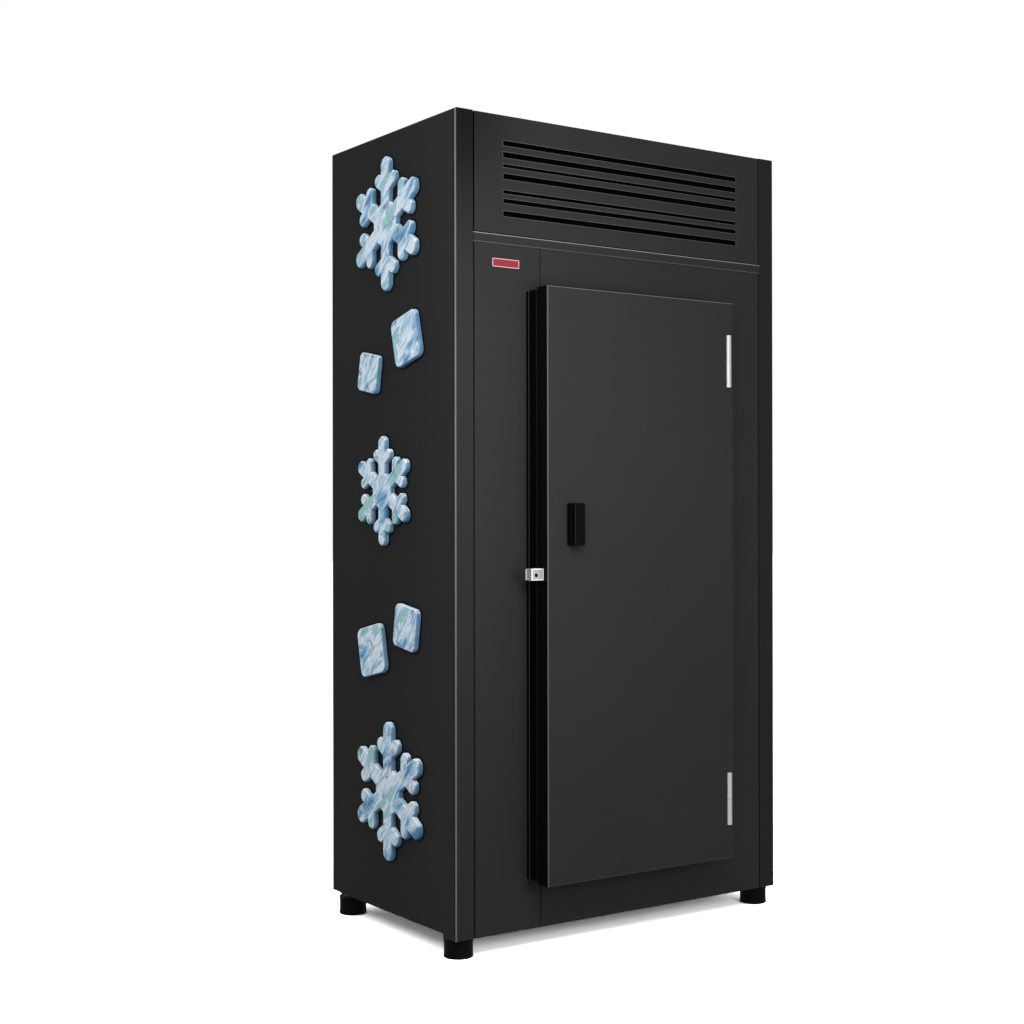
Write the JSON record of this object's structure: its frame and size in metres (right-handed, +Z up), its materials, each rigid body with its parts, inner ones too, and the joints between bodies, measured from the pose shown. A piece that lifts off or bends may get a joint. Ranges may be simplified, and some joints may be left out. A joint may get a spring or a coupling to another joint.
{
  "type": "storage freezer",
  "caption": "Upright foamed freezer cabinet on levelling feet, with one surface-mounted hinged door, wire shelves inside and louvred refrigeration on top",
  "frame": {"origin": "centre of the footprint, on the floor, under the middle of the bounding box", "axes": "x to the viewer's right when facing the door, y from the door to the back, z up"},
  "size_m": [1.012, 0.715, 1.968],
  "materials": {
    "black_coat": "satin black powder coat on sheet steel",
    "galvanised": "dull zinc-coated sheet steel",
    "foot_rubber": "matte black rubber",
    "foam": "rigid insulating foam, hidden behind the skins",
    "white_liner": "smooth white coated sheet and wire",
    "red_badge": "gloss red with a pale rim",
    "ice_relief": "pale blue marbled gloss with pale bevelled edges",
    "gasket_rubber": "soft black seal",
    "satin_metal": "satin steel",
    "black_plastic": "fine-grained black plastic",
    "white_plastic": "plain white plastic",
    "lock_chrome": "polished chrome plate",
    "compressor_paint": "semi-gloss black enamel",
    "fin_aluminium": "plain aluminium sheet",
    "copper": "drawn copper tube, brazed"
  },
  "bodies": {
    "cabinet": {"base_frame": "galvanised", "floor_pan": "galvanised", "cabinet_foam": "foam", "inner_liner": "white_liner", "left_side_skin": "black_coat", "right_side_skin": "black_coat", "roof_panel": "black_coat", "back_skin": "galvanised", "filler_panel": "black_coat", "front_panel": "black_coat", "trim_rail": "black_coat", "louvre_panel": "black_coat", "badge_plate": "red_badge", "snowflake_emblems": "ice_relief", "ice_block_emblems": "ice_relief", "door_subframe": "black_coat", "door_casing": "black_coat", "hinge_frame_leaves": "satin_metal", "hinge_pins": "satin_metal", "lock_keeper": "satin_metal", "machine_deck": "galvanised", "compressor": "compressor_paint", "compressor_mounts": "foot_rubber", "condenser_coil": "fin_aluminium", "condenser_shroud": "galvanised", "condenser_fan_motor": "compressor_paint", "filter_drier": "copper", "high_side_pipes": "copper", "suction_pipe": "copper", "control_box": "galvanised", "power_inlet": "black_plastic", "evaporator_casing": "white_liner", "evaporator_coil": "fin_aluminium", "evaporator_fan_motors": "compressor_paint", "drip_tray": "white_liner", "drain_pipe": "white_plastic", "shelf_pilasters": "white_liner", "shelf_clips": "white_plastic", "upper_shelf": "white_liner", "lower_shelf": "white_liner"},
    "door": {"door_skin": "black_coat", "door_foam": "foam", "door_liner": "white_liner", "door_gasket": "gasket_rubber", "hinge_door_leaves": "satin_metal", "handle_base": "black_plastic", "handle_grip": "black_plastic", "handle_screws": "satin_metal", "lock_body": "lock_chrome", "lock_base": "black_plastic"},
    "lock_plug": {"lock_cylinder": "lock_chrome", "lock_cam": "satin_metal"},
    "condenser_rotor": {"condenser_fan": "fin_aluminium"},
    "evaporator_rotor_left": {"evaporator_fan_left": "black_plastic"},
    "evaporator_rotor_right": {"evaporator_fan_right": "black_plastic"},
    "knob": {"thermostat_knob": "black_plastic"},
    "foot_front_left": {"front_left_foot": "foot_rubber"},
    "foot_front_right": {"front_right_foot": "foot_rubber"},
    "foot_rear_left": {"rear_left_foot": "foot_rubber"},
    "foot_rear_right": {"rear_right_foot": "foot_rubber"}
  },
  "joints": [
    {"name": "door_swing", "type": "hinge", "parent": "cabinet", "child": "door", "pos_m": [0.2667, -0.324, 0.864], "axis": [0, 0, 1], "range_deg": [0, 110]},
    {"name": "lock_turn", "type": "hinge", "parent": "door", "child": "lock_plug", "pos_m": [-0.3192, -0.3, 0.8882], "axis": [0, 1, 0], "range_deg": [0, 90]},
    {"name": "condenser_fan_spin", "type": "hinge", "parent": "cabinet", "child": "condenser_rotor", "pos_m": [-0.154, -0.06, 1.784], "axis": [0, 1, 0], "continuous": true},
    {"name": "evaporator_fan_left_spin", "type": "hinge", "parent": "cabinet", "child": "evaporator_rotor_left", "pos_m": [-0.15431, -0.01, 1.529], "axis": [0, 1, 0], "continuous": true},
    {"name": "evaporator_fan_right_spin", "type": "hinge", "parent": "cabinet", "child": "evaporator_rotor_right", "pos_m": [0.16631, -0.01, 1.529], "axis": [0, 1, 0], "continuous": true},
    {"name": "thermostat_turn", "type": "hinge", "parent": "cabinet", "child": "knob", "pos_m": [0.2204, -0.2, 1.756], "axis": [0, 1, 0], "range_deg": [0, 270]},
    {"name": "foot_front_left_turn", "type": "hinge", "parent": "cabinet", "child": "foot_front_left", "pos_m": [-0.459, -0.191, 0.02], "axis": [0, 0, 1], "continuous": true},
    {"name": "foot_front_right_turn", "type": "hinge", "parent": "cabinet", "child": "foot_front_right", "pos_m": [0.471, -0.191, 0.02], "axis": [0, 0, 1], "continuous": true},
    {"name": "foot_rear_left_turn", "type": "hinge", "parent": "cabinet", "child": "foot_rear_left", "pos_m": [-0.459, 0.314, 0.02], "axis": [0, 0, 1], "continuous": true},
    {"name": "foot_rear_right_turn", "type": "hinge", "parent": "cabinet", "child": "foot_rear_right", "pos_m": [0.471, 0.314, 0.02], "axis": [0, 0, 1], "continuous": true}
  ]
}
